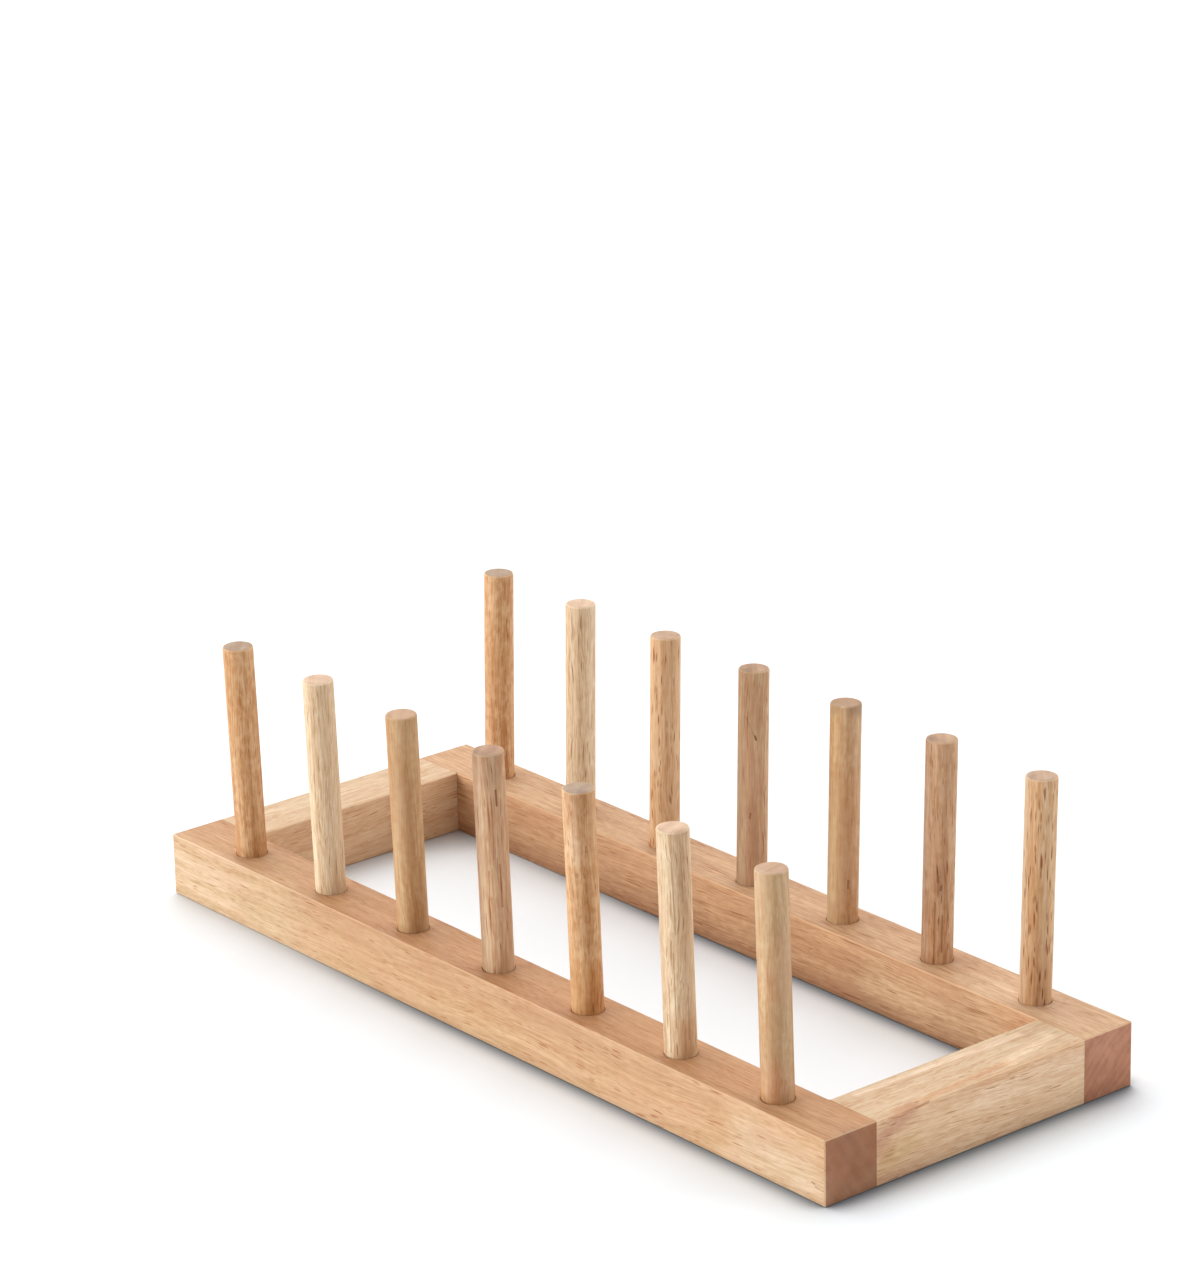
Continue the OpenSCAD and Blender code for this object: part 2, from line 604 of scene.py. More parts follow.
    def _rings(self, place: bpy.types.NodeSocket) -> bpy.types.NodeSocket:
        """Draws growth rings of uneven width round the pith.

        Args:
            place: the place in millimetres.

        Returns:
            The rings, from 0 to 1.
        """
        w = self.wiring
        from_pith = w.vector("MULTIPLY", w.vector("SUBTRACT", place, self.given["pith"]), (0.0, 1.0, 1.0))
        count = w.math("MULTIPLY", w.vector("LENGTH", from_pith), self.RINGS_PER_MM)
        found = w.noise(w.joined(count, 0.0, 0.0), roughness=self.RING_ROUGHNESS)
        return w.ramp(found, *self.RING_SPAN)

    def _pores(self, place: bpy.types.NodeSocket, bands: bpy.types.NodeSocket) -> bpy.types.NodeSocket:
        """Draws short dashes along the fibres, a fine run and a bolder, rarer one.

        Args:
            place: the place in millimetres.
            bands: the layer of soft bands, which crowd the dashes where the wood is darker.

        Returns:
            How dark the pores are, from 0 to 1.
        """
        w, given = self.wiring, self.given
        crowd = w.math("MULTIPLY", given["pore_share"], w.ramp(bands, 0.0, 1.0, *self.PORE_CROWDING))
        fine = self._dashes(place, self.FINE_PORES, crowd)
        bold = self._dashes(place, self.BOLD_PORES, w.math("MULTIPLY", crowd, given["bold_pores"]))
        return w.math("MULTIPLY", w.math("MAXIMUM", fine, bold), given["pores"], clamp=True)

    def _dashes(self, place: bpy.types.NodeSocket, run: PoreRun, crowd: Feed) -> bpy.types.NodeSocket:
        """Draws one run of pores.

        Args:
            place: the place in millimetres.
            run: size and darkness of the run.
            crowd: the share of places that have a pore.

        Returns:
            How dark the pores of the run are, from 0 to 1.
        """
        w, given = self.wiring, self.given
        length = w.math("MULTIPLY", given["pore_length"], run.size)
        width = w.math("MULTIPLY", given["pore_width"], run.size)
        cell = w.node("ShaderNodeTexVoronoi", feature="F1")
        w.feed(cell.inputs["Vector"], w.vector("DIVIDE", place, w.joined(length, width, width)))
        w.feed(cell.inputs["Scale"], 1.0)
        chance, bulk, _ = w.parts(cell.outputs["Color"])
        kept = w.math("LESS_THAN", chance, crowd)
        reach = w.ramp(bulk, 0.0, 1.0, *self.PORE_REACH)
        dash = w.ramp(cell.outputs["Distance"], w.math("MULTIPLY", reach, self.PORE_CORE), reach, 1.0, 0.0)
        darkness = w.ramp(bulk, 0.0, 1.0, run.faintest, run.darkest)
        return w.math("MULTIPLY", w.math("MULTIPLY", dash, kept), darkness)


class MarkPattern(Pattern):
    """One mark on a colour: a soft or crisp tint round a short line."""

    # The edge is uneven, by noise stretched along the fibres in cells that grow with the mark
    RAGGED = 0.5
    RAGGED_CELLS = (130.0, 1500.0, 1500.0)
    LEAST_SQUARE = 1e-6

    def __init__(self, blend: str) -> None:
        """Builds the group.

        Args:
            blend: how the tint goes over the colour, as the mix node names it.
        """
        inputs = {
            "colour": "Color", "place": "Vector", "grain": "Vector", "start": "Vector", "end": "Vector",
            "reach": "Float", "tint": "Color", "share": "Float", "edge": "Float",
        }
        super().__init__(f"wood_mark_{blend.lower()}", inputs, {"colour": "Color"})
        w, given = self.wiring, self.given
        line = w.vector("SUBTRACT", given["end"], given["start"])
        offset = w.vector("SUBTRACT", given["place"], given["start"])
        squared = w.math("MAXIMUM", w.vector("DOT_PRODUCT", line, line), self.LEAST_SQUARE)
        along = w.math("DIVIDE", w.vector("DOT_PRODUCT", offset, line), squared, clamp=True)
        distance = w.vector("LENGTH", w.vector("SUBTRACT", offset, w.scaled(line, along)))
        along_grain = w.vector("MULTIPLY", given["grain"], self.RAGGED_CELLS)
        ragged = w.noise(w.vector("DIVIDE", along_grain, w.joined(*[given["reach"]] * 3)))
        distance = w.math("DIVIDE", distance, given["reach"])
        distance = w.math("MULTIPLY", distance, w.math("ADD", ragged, self.RAGGED))
        core = w.math("SUBTRACT", 1.0, given["edge"])
        shade = w.math("MULTIPLY", w.ramp(distance, core, 1.0, 1.0, 0.0), given["share"])
        self.end(colour=w.mixed(shade, given["colour"], given["tint"], blend))


@dataclass
class WoodShop:
    """Makes the wood materials of the rack from one grain pattern and a mark pattern for each blend.

    An eased edge is told by where its surface faces: between the flat faces on a board, and between the
    wall and the end on a rod. It is painted paler, partly as wear and partly as a painted highlight.
    """

    grain: RubberwoodPattern = field(default_factory=RubberwoodPattern)
    marks: dict[str, MarkPattern] = field(
        default_factory=lambda: {blend: MarkPattern(blend) for blend in ("MULTIPLY", "MIX")}
    )
    specular: float = 0.2
    arris_span: tuple[float, float] = (0.78, 0.97)
    rod_pith_mm: tuple[float, float] = PITH_MM
    rim_from: tuple[float, float] = (0.25, 0.5)
    rim_to: tuple[float, float] = (0.85, 0.98)
    rim_wear_and_highlight: float = 0.6
    bump_depth: float = 0.08 * MM
    bump_strength: float = 0.6

    def board(
        self, name: str, finish: WoodFinish, lay: GrainLay, marks: Sequence[Mark]
    ) -> bpy.types.Material:
        """Makes the material of one board, which reads its place in the rack.

        Args:
            name: the material's name.
            finish: tones and figure.
            lay: how the grain runs through the board.
            marks: knots, blushes and painted shade, by their place in the rack.

        Returns:
            The new material.
        """
        material, w = self._blank(name)
        in_rack = w.node("ShaderNodeTexCoord").outputs["Object"]
        turned = w.node("ShaderNodeMapping", vector_type="POINT")
        w.feed(turned.inputs["Vector"], in_rack)
        w.feed(turned.inputs["Rotation"], lay.turn())
        w.feed(turned.inputs["Location"], [shift * MM for shift in lay.shift_mm])
        normal = w.node("ShaderNodeNewGeometry").outputs["Normal"]
        facing = w.parts(w.vector("ABSOLUTE", normal))
        squarest = w.math("MAXIMUM", w.math("MAXIMUM", facing[0], facing[1]), facing[2])
        arris = w.ramp(squarest, *self.arris_span, 1.0, 0.0)
        across = w.vector("DOT_PRODUCT", normal, lay.run.value)
        in_rack_mm = w.scaled(in_rack, 1.0 / MM)
        self._dress(w, finish, turned.outputs[0], lay.pith_mm, across, arris, in_rack_mm, marks)
        return material

    def rod(self, name: str, finish: WoodFinish, marks: Sequence[Mark] = ()) -> bpy.types.Material:
        """Makes the material of a turned rod, which reads the grain place that the rod carries.

        Args:
            name: the material's name.
            finish: tones and figure.
            marks: knots, flecks and painted shade, by their place in the grain.

        Returns:
            The new material.
        """
        material, w = self._blank(name)
        place = w.node("ShaderNodeAttribute", attribute_type="GEOMETRY", attribute_name=GRAIN_ATTRIBUTE)
        place = place.outputs["Vector"]
        normal = w.node("ShaderNodeNewGeometry").outputs["Normal"]
        along = w.vector("DOT_PRODUCT", normal, Grain.ALONG_Z.value)
        # The rim between wall and end is painted paler: partly wear, partly a painted highlight
        fading = w.ramp(along, *self.rim_to, self.rim_wear_and_highlight, 0.0)
        rim = w.math("MULTIPLY", w.ramp(along, *self.rim_from), fading)
        self._dress(w, finish, place, self.rod_pith_mm, along, rim, w.scaled(place, 1.0 / MM), marks)
        return material

    def _blank(self, name: str) -> tuple[bpy.types.Material, Wiring]:
        """Starts a material.

        Args:
            name: its name.

        Returns:
            The material and its wiring.
        """
        material = bpy.data.materials.new(name)
        material.use_nodes = True
        return material, Wiring(material.node_tree)

    def _dress(
        self, w: Wiring, finish: WoodFinish, place: Feed, pith: tuple[float, float], across: Feed,
        arris: Feed, marked_place: Feed, marks: Sequence[Mark],
    ) -> None:
        """Joins the grain and the marks to a material's shader.

        Args:
            w: the wiring of the material.
            finish: tones and figure.
            place: the place in the wood, in metres, with the fibres along X.
            pith: where the middle of the growth rings lies, across the fibres, in millimetres.
            across: how squarely the surface cuts the fibres.
            arris: 1 on an eased edge and 0 elsewhere.
            marked_place: the place that the marks are given in, in millimetres.
            marks: the marks.
        """
        up = w.parts(w.node("ShaderNodeNewGeometry").outputs["Normal"])[2]
        made = self.grain.apply(
            w, place=place, pith=(0.0, *pith), across=across, upward=up, arris=arris,
            **{spec.name: getattr(finish, spec.name) for spec in fields(finish)},
        )
        colour = made["colour"]
        for mark in marks:
            sizes = {spec.name: getattr(mark, spec.name) for spec in fields(mark)}
            pattern = self.marks[mark.blend]
            colour = pattern.apply(w, colour=colour, place=marked_place, grain=place, **sizes)["colour"]
        shader = w.tree.nodes["Principled BSDF"]
        w.feed(shader.inputs["Specular IOR Level"], self.specular)
        w.feed(shader.inputs["Base Color"], colour)
        w.feed(shader.inputs["Roughness"], made["rough"])
        bump = w.node("ShaderNodeBump")
        w.feed(bump.inputs["Strength"], self.bump_strength)
        w.feed(bump.inputs["Distance"], self.bump_depth)
        w.feed(bump.inputs["Height"], made["height"])
        w.feed(shader.inputs["Normal"], bump.outputs[0])


# The woods of the boards, then those of the dowels, one for each of their slots, then that of the pins
FRONT_RAIL_WOOD = WoodFinish(
    light=(0.635, 0.409, 0.242), dark=(0.439, 0.239, 0.107), blush=(0.558, 0.303, 0.183),
    pore=(0.36, 0.125, 0.05), end_light=(0.375, 0.167, 0.086), end_dark=(0.28, 0.117, 0.0607),
    top_shade=(0.835, 0.735, 0.64),
    end_rings=0.3, bands=0.25, streaks=0.25, fibres=0.34, fineness=1.3, stains=0.35, pores=0.85,
    pore_share=0.6, pore_length=6.0, pore_width=0.5, bold_pores=0.5,
)
REAR_RAIL_WOOD = WoodFinish(
    light=(0.658, 0.404, 0.225), dark=(0.435, 0.217, 0.103), blush=(0.526, 0.272, 0.15),
    pore=(0.288, 0.103, 0.0368), end_light=(0.511, 0.232, 0.132), end_dark=(0.333, 0.139, 0.0809),
    top_shade=(0.92, 0.96, 0.98),
    end_rings=0.4, bands=0.25, streaks=0.22, fibres=0.4, fineness=1.3, mottle=0.28, stains=0.4, pores=0.85,
    pore_share=0.5, pore_length=12.0,
)
CROSSBAR_WOOD = WoodFinish(
    light=(0.831, 0.611, 0.397), dark=(0.641, 0.367, 0.203), blush=(0.676, 0.422, 0.243),
    pore=(0.45, 0.21, 0.095), end_light=(0.40, 0.24, 0.15), end_dark=(0.25, 0.13, 0.08),
    top_shade=(0.77, 0.812, 0.832),
    bands=0.25, streaks=0.25, fibres=0.48, fineness=1.4, mottle=0.2, stains=0.1, pores=0.95,
    pore_share=0.8, pore_length=9.0, pore_width=0.38, bold_pores=0.3,
)
HONEY_WOOD = WoodFinish(
    light=(0.564, 0.378, 0.206), dark=(0.413, 0.202, 0.0767), blush=(0.469, 0.271, 0.148),
    pore=(0.33, 0.148, 0.059), end_light=(0.51, 0.327, 0.21), end_dark=(0.396, 0.232, 0.143),
    bands=0.5, streaks=0.25, fibres=0.35, fineness=1.2, rings=0.1, shimmer=0.3, mottle=0.45, stains=0.2,
    pores=0.5, pore_share=0.2, roughness=0.55,
)
CREAM_WOOD = WoodFinish(
    light=(0.827, 0.674, 0.472), dark=(0.51, 0.313, 0.163), blush=(0.662, 0.456, 0.274),
    pore=(0.282, 0.115, 0.0458), end_light=(0.66, 0.47, 0.33), end_dark=(0.52, 0.34, 0.23),
    bands=0.25, streaks=0.2, fibres=0.45, fineness=1.4, mottle=0.2, stains=0.2, pores=0.85, pore_share=0.7,
    pore_length=10.0,
)
OCHRE_WOOD = WoodFinish(
    light=(0.686, 0.443, 0.245), dark=(0.456, 0.2, 0.0713), blush=(0.525, 0.278, 0.117),
    pore=(0.25, 0.081, 0.0239), end_light=(0.414, 0.299, 0.205), end_dark=(0.306, 0.198, 0.13),
    bands=0.35, streaks=0.3, fibres=0.4, shimmer=0.45, mottle=0.5, stains=0.3, pores=0.6, pore_share=0.6,
    pore_length=4.0, roughness=0.55,
)
ROSY_WOOD = WoodFinish(
    light=(0.601, 0.409, 0.253), dark=(0.435, 0.215, 0.104), blush=(0.497, 0.29, 0.181),
    pore=(0.235, 0.084, 0.0308), end_light=(0.46, 0.29, 0.19), end_dark=(0.34, 0.195, 0.12),
    bands=0.3, streaks=0.32, fibres=0.45, stains=0.3, pores=0.8, pore_share=0.85, pore_length=12.0,
    pore_width=0.55,
)
TAN_WOOD = WoodFinish(
    light=(0.697, 0.479, 0.291), dark=(0.521, 0.275, 0.12), blush=(0.598, 0.376, 0.226),
    pore=(0.239, 0.0766, 0.0245), end_light=(0.496, 0.337, 0.233), end_dark=(0.385, 0.242, 0.156),
    streaks=0.35, fibres=0.5, mottle=0.2, stains=0.2, pores=1.0, pore_share=0.9, pore_length=6.5,
    pore_width=0.7, bold_pores=0.55,
)
BROWN_WOOD = WoodFinish(
    light=(0.601, 0.4, 0.246), dark=(0.422, 0.208, 0.093), blush=(0.492, 0.3, 0.182),
    pore=(0.196, 0.0581, 0.0179), end_light=(0.48, 0.31, 0.20), end_dark=(0.34, 0.20, 0.12),
    streaks=0.3, fibres=0.4, shimmer=0.25, stains=0.4, pores=0.85, pore_share=0.75, pore_length=5.5,
    pore_width=0.55,
)
PIN_WOOD = WoodFinish(
    light=(0.70, 0.50, 0.33), dark=(0.55, 0.36, 0.22), blush=(0.62, 0.42, 0.28), pore=(0.35, 0.20, 0.11),
    end_light=(0.55, 0.36, 0.23), end_dark=(0.40, 0.24, 0.15),
    roughness=0.65,
)
DOWEL_WOODS = {
    "dowel_honey": HONEY_WOOD, "dowel_cream": CREAM_WOOD, "dowel_ochre": OCHRE_WOOD,
    "dowel_rosy": ROSY_WOOD, "dowel_tan": TAN_WOOD, "dowel_brown": BROWN_WOOD,
}
# Where the rack's faces lie, in millimetres: its ends each way along X, the outer face of the front rail
# and the inner face of the rear one along Y, and the tops of the boards
HALF_LENGTH = 160.0
FRONT_FACE = -62.0
WELL_FACE = 42.0
BOARD_TOP = 21.0
BOARD_MARKS = {
    "front_rail": (
        Mark((-158.0, FRONT_FACE, 12.0), (-102.0, FRONT_FACE, 10.0), 30.0, (1.12, 1.38, 1.6), 0.5),
        Mark((-HALF_LENGTH, FRONT_FACE, 13.0), (-134.0, FRONT_FACE, 12.0), 16.0, (1.2, 1.28, 1.42), 0.55),
        Mark((120.0, FRONT_FACE, 2.0), (HALF_LENGTH, FRONT_FACE, 2.0), 9.0, (1.08, 1.16, 1.3), 0.6),
        Mark((126.0, FRONT_FACE, 11.0), (152.0, FRONT_FACE, 9.0), 14.0, (1.13, 1.42, 1.76), 0.5),
        Mark((154.4, FRONT_FACE, 6.2), (155.6, FRONT_FACE, 6.0), 0.28, (0.14, 0.07, 0.04), 0.7, 0.6),
        Mark((155.9, FRONT_FACE, 5.3), (157.8, FRONT_FACE, 5.1), 0.25, (0.16, 0.08, 0.045), 0.6, 0.6),
        Mark((-HALF_LENGTH, FRONT_FACE, 3.0), (HALF_LENGTH, FRONT_FACE, 2.0), 9.0, (1.18, 1.3, 1.35), 0.4),
        Mark((-94.0, FRONT_FACE, 17.0), (112.0, FRONT_FACE, 17.0), 8.0, (0.87, 0.84, 0.81), 0.7),
        Mark((HALF_LENGTH, -53.0, 20.0), (HALF_LENGTH, -50.0, 13.0), 7.0, (0.75, 0.83, 1.04), 0.4),
        Mark((HALF_LENGTH, -53.0, 2.0), (HALF_LENGTH, -44.0, 4.0), 6.0, (1.15, 1.38, 1.52), 0.5),
    ),
    "rear_rail": (
        Mark((115.0, 52.0, 22.0), (HALF_LENGTH, 52.0, 22.0), 20.0, (1.2, 1.34, 1.55), 0.55),
        # Darker and redder along the foot of the inner face in the well: partly the wood's own tone, partly
        # painted shade
        Mark((-150.0, WELL_FACE, 0.0), (HALF_LENGTH, WELL_FACE, 0.0), 9.0, (0.67, 0.50, 0.50), 0.4),
        Mark((70.0, WELL_FACE, 9.0), (118.0, WELL_FACE, 10.0), 16.0, (1.2, 1.4, 1.55), 0.8),
    ),
    "right_crossbar": (
        Mark((HALF_LENGTH, -41.0, 15.0), (HALF_LENGTH, -28.0, 20.0), 5.0, (0.71, 0.54, 0.55), 0.65),
        Mark((HALF_LENGTH, -41.0, 1.5), (HALF_LENGTH, -24.0, 0.8), 4.0, (0.82, 0.68, 0.65), 0.6),
        Mark((HALF_LENGTH, -38.0, 7.0), (HALF_LENGTH, -29.0, 10.0), 6.0, (0.88, 0.88, 0.68), 0.6),
        Mark((HALF_LENGTH, -26.5, 20.2), (HALF_LENGTH, -21.5, 20.6), 0.5, (0.42, 0.19, 0.08), 0.6, 0.6),
        Mark((HALF_LENGTH, -41.0, 11.0), (HALF_LENGTH, -39.0, 11.0), 7.0, (0.8, 0.68, 0.62), 0.7),
        Mark((HALF_LENGTH, 0.0, 15.5), (HALF_LENGTH, 41.0, 15.5), 6.0, (1.13, 1.24, 1.4), 0.7),
        Mark((159.0, -34.0, BOARD_TOP), (156.0, 14.0, BOARD_TOP), 2.5, (0.97, 0.75, 0.61), 0.6),
        Mark((156.0, 14.0, BOARD_TOP), (151.0, 36.0, BOARD_TOP), 4.0, (1.39, 1.55, 1.75), 0.6),
        Mark((143.0, -34.0, BOARD_TOP), (144.0, 30.0, BOARD_TOP), 2.5, (1.39, 1.60, 1.87), 0.6),
        Mark((159.5, 0.0, BOARD_TOP), (159.5, 40.0, BOARD_TOP), 4.0, (0.93, 0.8, 0.72), 0.6),
        Mark((154.2, -3.8, BOARD_TOP), (154.4, -2.6, BOARD_TOP), 0.45, (0.22, 0.09, 0.05), 0.7, 0.8),
        Mark((158.5, -25.4, BOARD_TOP), (158.4, -24.2, BOARD_TOP), 0.45, (0.22, 0.09, 0.05), 0.7, 0.8),
    ),
}
# How high a dowel's head is above its rail, in millimetres, and all of the dowel that stands above it
HEAD = 72.0
WHOLE = (0.0, HEAD)
DOWEL_FLECKS = {
    "front_dowel_1": (
        Fleck.streak(WHOLE, -40.0, 20.0, (0.94, 0.95, 0.96), 1.0),
        Fleck.streak((4.0, HEAD), -95.0, 4.0, (1.40, 1.60, 1.91), 0.5),
        Fleck((34.0, 50.0), (-50.0, -20.0), 5.0, (1.12, 0.97, 0.96), 0.35, 1.0),
        Fleck.streak((-2.0, 8.0), -40.0, 8.0, (1.18, 1.0, 1.05), 0.6),
        Fleck.streak((4.0, HEAD), 8.0, 5.0, (1.1, 1.22, 1.42), 0.6),
        # Painted shade on the dowel's left side
        Fleck.streak((10.0, HEAD), -110.0, 4.5, (0.88, 0.9, 0.9), 0.6),
    ),
    "front_dowel_2": (
        Fleck((2.0, 24.0), (-76.0, -74.0), 0.3, (0.34, 0.18, 0.08), 0.6),
        Fleck((10.0, 34.0), (-52.0, -54.0), 0.3, (0.34, 0.18, 0.08), 0.6),
        Fleck((40.0, 63.0), (-44.0, -48.0), 0.3, (0.34, 0.18, 0.08), 0.55),
        Fleck((50.0, 66.0), (-14.0, -16.0), 0.3, (0.36, 0.2, 0.1), 0.45),
        Fleck((6.0, 24.0), (-8.0, -6.0), 0.3, (0.36, 0.2, 0.1), 0.45),
        # Painted shade on the dowel's left side
        Fleck.streak(WHOLE, -112.0, 4.5, (0.82, 0.8, 0.8), 0.6),
        Fleck.streak(WHOLE, -6.0, 4.5, (0.72, 0.62, 0.56), 0.5),
        Fleck.streak((14.0, 50.0), -48.0, 5.0, (1.08, 1.12, 1.15), 0.6),
        Fleck.streak(WHOLE, 16.0, 4.0, (0.84, 0.79, 0.74), 0.6),
        # Painted shadow at the foot on the right, in a warm brown-red
        Fleck.streak((-2.0, 10.0), -16.0, 7.0, (0.84, 0.61, 0.44), 0.6),
    ),
    "front_dowel_3": (
        Fleck.streak((-4.0, 12.0), -40.0, 10.0, (0.8, 0.68, 0.5), 0.5),
        Fleck.streak((-4.0, 12.0), -4.0, 6.0, (0.9, 0.66, 0.4), 0.5),
        Fleck.streak((24.0, 44.0), -40.0, 8.0, (0.84, 0.82, 0.79), 0.6),
        Fleck.streak((4.0, 70.0), -14.0, 4.0, (0.78, 0.69, 0.55), 0.3),
        Fleck.streak((54.0, HEAD), -44.0, 7.5, (1.05, 1.2, 1.5), 0.7),
        Fleck.streak((66.0, 74.0), -40.0, 7.0, (0.71, 0.60, 0.48), 0.5),
        Fleck((45.4, 45.9), (-58.0, -56.0), 0.9, (0.30, 0.13, 0.04), 0.6),
        Fleck((53.0, 55.0), (-21.0, -21.0), 0.5, (0.24, 0.10, 0.04), 0.6),
    ),
    "front_dowel_4": (
        # Painted shade on the dowel's left side
        Fleck.streak(WHOLE, -112.0, 5.5, (0.62, 0.64, 0.66), 0.75),
        Fleck.streak(WHOLE, -44.0, 3.5, (1.14, 1.22, 1.28), 0.6),
        Fleck.streak((66.0, 74.0), -30.0, 8.0, (0.69, 0.67, 0.66), 0.5),
        Fleck((30.0, 68.0), (-88.0, -80.0), 3.0, (1.2, 1.32, 1.42), 0.4, 1.0),
        Fleck.streak((0.0, 28.0), -50.0, 7.0, (1.14, 1.18, 1.18), 0.6),
        Fleck((55.5, 60.5), (-15.0, -17.0), 0.55, (0.2, 0.055, 0.02), 0.8),
        Fleck((22.0, 36.0), (-13.0, -14.0), 0.4, (0.32, 0.1, 0.04), 0.65),
        Fleck((18.0, 34.0), (-60.0, -56.0), 0.35, (0.34, 0.12, 0.05), 0.6),
        Fleck((38.0, 54.0), (-36.0, -34.0), 0.35, (0.34, 0.12, 0.05), 0.55),
    ),
    "rear_dowel_1": (
        # Painted shade on the dowel's left side
        Fleck.streak(WHOLE, -112.0, 5.0, (0.75, 0.84, 0.98), 0.6),
        Fleck.streak((-2.0, 12.0), -30.0, 8.0, (0.76, 0.60, 0.50), 0.4),
        Fleck.streak((20.0, 36.0), -30.0, 4.0, (0.80, 0.74, 0.70), 0.3),
        Fleck.streak((42.0, HEAD), -14.0, 7.0, (1.04, 1.12, 1.24), 0.4),
    ),
    "rear_dowel_2": (
        # Painted shade on the dowel's left side
        Fleck.streak(WHOLE, -112.0, 6.0, (0.6, 0.6, 0.66), 0.75),
        Fleck.streak((0.0, 12.0), -40.0, 7.0, (1.1, 1.03, 0.96), 0.6),
        Fleck((24.0, 31.0), (-42.0, -36.0), 2.6, (0.57, 0.42, 0.40), 0.4, 1.0),
        Fleck((24.4, 25.6), (-36.0, -35.0), 0.55, (0.16, 0.06, 0.03), 0.55),
        Fleck((27.0, 28.6), (-46.0, -45.0), 0.55, (0.16, 0.06, 0.03), 0.5),
        Fleck((0.0, 20.0), (-55.0, -55.0), 0.4, (0.20, 0.08, 0.04), 0.6),
        Fleck((4.0, 16.0), (-28.0, -28.0), 0.4, (0.20, 0.08, 0.04), 0.6),
    ),
    "rear_dowel_3": (
        # Painted shade on the dowel's left side
        Fleck.streak(WHOLE, -115.0, 5.5, (0.68, 0.69, 0.72), 0.7),
        Fleck.streak(WHOLE, -40.0, 20.0, (1.07, 1.08, 1.09), 1.0),
        Fleck((HEAD, HEAD), (-130.0, 50.0), 5.5, (0.306, 0.176, 0.09), 0.7, 0.4),
        Fleck.streak((8.0, HEAD), -86.0, 3.5, (1.2, 1.32, 1.26), 0.45),
        Fleck.streak((54.0, HEAD), -24.0, 8.0, (1.05, 1.19, 1.34), 0.6),
        Fleck.streak(WHOLE, -10.0, 5.0, (1.03, 0.95, 1.06), 0.45),
        Fleck((12.0, 14.6), (-24.0, -24.0), 0.5, (0.20, 0.085, 0.04), 0.7),
    ),
    "rear_dowel_4": (
        # Painted shade on the dowel's left side
        Fleck.streak(WHOLE, -108.0, 6.5, (0.58, 0.6, 0.57), 0.75),
        Fleck.streak(WHOLE, 5.0, 4.5, (1.1, 1.25, 1.3), 0.5),
        Fleck((49.5, 57.0), (-31.0, -70.0), 0.4, (0.26, 0.12, 0.06), 0.5),
        Fleck((49.5, 50.8), (-31.0, -35.0), 0.45, (0.10, 0.04, 0.02), 0.75),
        Fleck((23.0, 24.6), (-52.0, -50.0), 0.45, (0.20, 0.085, 0.04), 0.65),
        Fleck.streak((10.0, 26.0), -40.0, 4.5, (0.74, 0.6, 0.52), 0.35),
        Fleck.streak((54.0, HEAD), -50.0, 8.0, (0.88, 0.85, 0.77), 0.6),
    ),
}


@dataclass(frozen=True)
class RodAxis:
    """Where a round rod stands: its foot, its direction and its size."""

    foot: Vector
    direction: Vector
    length: float
    radius: float

    @classmethod
    def of_points(cls, points: np.ndarray) -> "RodAxis":
        """Reads the rod from points on its surface, which lie in rings at both its ends.

        Args:
            points: one row for each point, in metres.

        Returns:
            The rod that the points outline.
        """
        unique = np.unique(points.round(POINT_DECIMALS), axis=0)
        spread = unique - unique.mean(axis=0)
        along = np.linalg.svd(spread, full_matrices=False)[2][0]
        along = along * np.sign(along[np.argmax(np.abs(along))])
        reach = spread @ along
        low, high = unique[reach < 0.0].mean(axis=0), unique[reach > 0.0].mean(axis=0)
        along = (high - low) / np.linalg.norm(high - low)
        reach = (unique - low) @ along
        off_axis = np.linalg.norm(unique - low - np.outer(reach, along), axis=1)
        foot = Vector(low + reach.min() * along)
        return cls(foot, Vector(along), float(np.ptp(reach)), float(off_axis.max()))


def node_points(node: bpy.types.Object) -> np.ndarray:
    """Reads the points of a node's mesh.

    Args:
        node: the node, which stays as it is.

    Returns:
        The place of each vertex in metres, one row for each.
    """
    flat = np.empty(len(node.data.vertices) * 3)
    node.data.vertices.foreach_get("co", flat)
    return flat.reshape(-1, 3)


def settle(piece: bpy.types.Object) -> None:
    """Turns an object with modifiers into a plain mesh.

    Args:
        piece: the object, which loses its modifiers.
    """
    graph = bpy.context.evaluated_depsgraph_get()
    shape = bpy.data.meshes.new_from_object(
        piece.evaluated_get(graph), preserve_all_data_layers=True, depsgraph=graph
    )
    piece.modifiers.clear()
    shape.name = piece.name
    piece.data = shape


